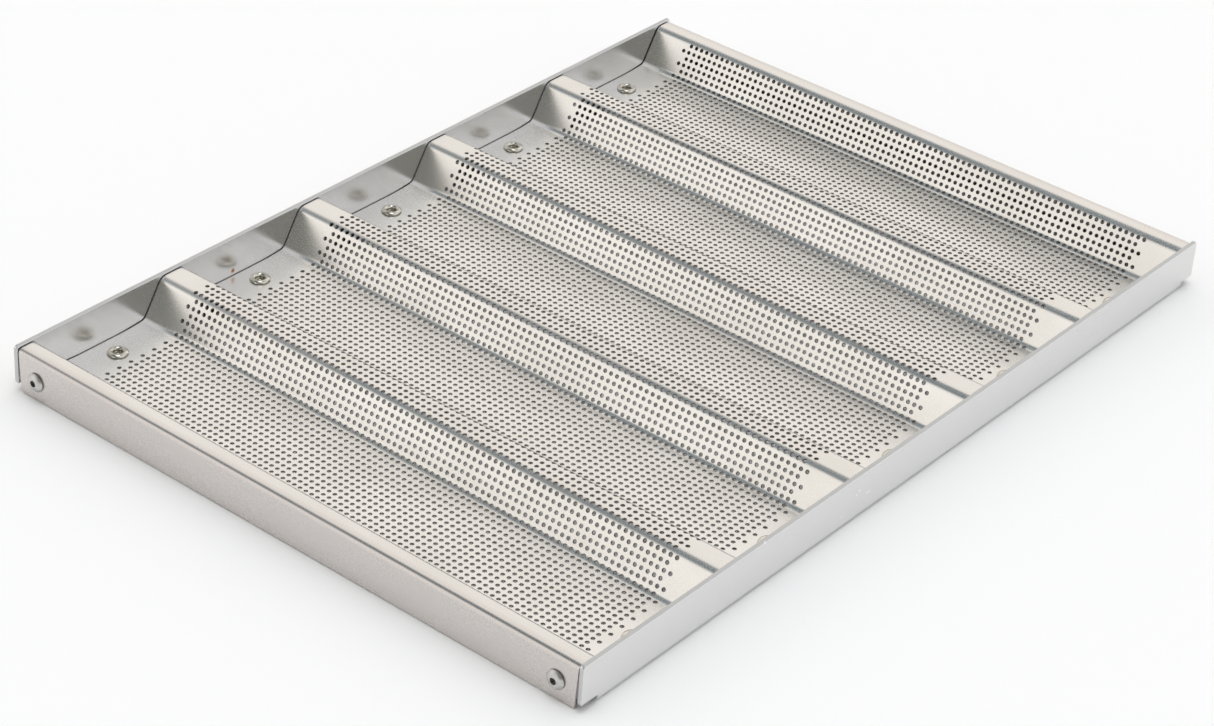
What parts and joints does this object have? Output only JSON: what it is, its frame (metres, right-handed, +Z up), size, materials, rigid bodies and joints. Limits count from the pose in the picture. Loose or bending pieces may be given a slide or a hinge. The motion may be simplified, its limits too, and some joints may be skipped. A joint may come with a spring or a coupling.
{
  "type": "baguette tray",
  "caption": "Perforated aluminium baguette tray: one wave-folded sheet of long flat-bottomed channels between two end rails, riveted at each channel and corner.",
  "frame": {"origin": "centre of the tray's footprint, on the surface that it rests on", "axes": "+X along the end rails and across the channels, +Y along the channels towards the back rail, +Z up"},
  "size_m": [0.6038, 0.43, 0.0305],
  "materials": {
    "sheet": "satin",
    "rail": "satin",
    "rivet_steel": "polished",
    "rivet_aluminium": "satin",
    "mandrel_steel": "dull"
  },
  "bodies": {
    "root": {"wave_sheet": "sheet", "rail_back": "rail", "rail_front": "rail", "channel_rivet_back_1": "rivet_steel", "channel_rivet_back_2": "rivet_steel", "channel_rivet_back_3": "rivet_steel", "channel_rivet_back_4": "rivet_steel", "channel_rivet_back_5": "rivet_steel", "corner_rivet_back_left": "rivet_aluminium", "mandrel_back_left": "mandrel_steel", "corner_rivet_back_right": "rivet_aluminium", "mandrel_back_right": "mandrel_steel", "channel_rivet_front_1": "rivet_steel", "channel_rivet_front_2": "rivet_steel", "channel_rivet_front_3": "rivet_steel", "channel_rivet_front_4": "rivet_steel", "channel_rivet_front_5": "rivet_steel", "corner_rivet_front_left": "rivet_aluminium", "mandrel_front_left": "mandrel_steel", "corner_rivet_front_right": "rivet_aluminium", "mandrel_front_right": "mandrel_steel"}
  },
  "joints": []
}
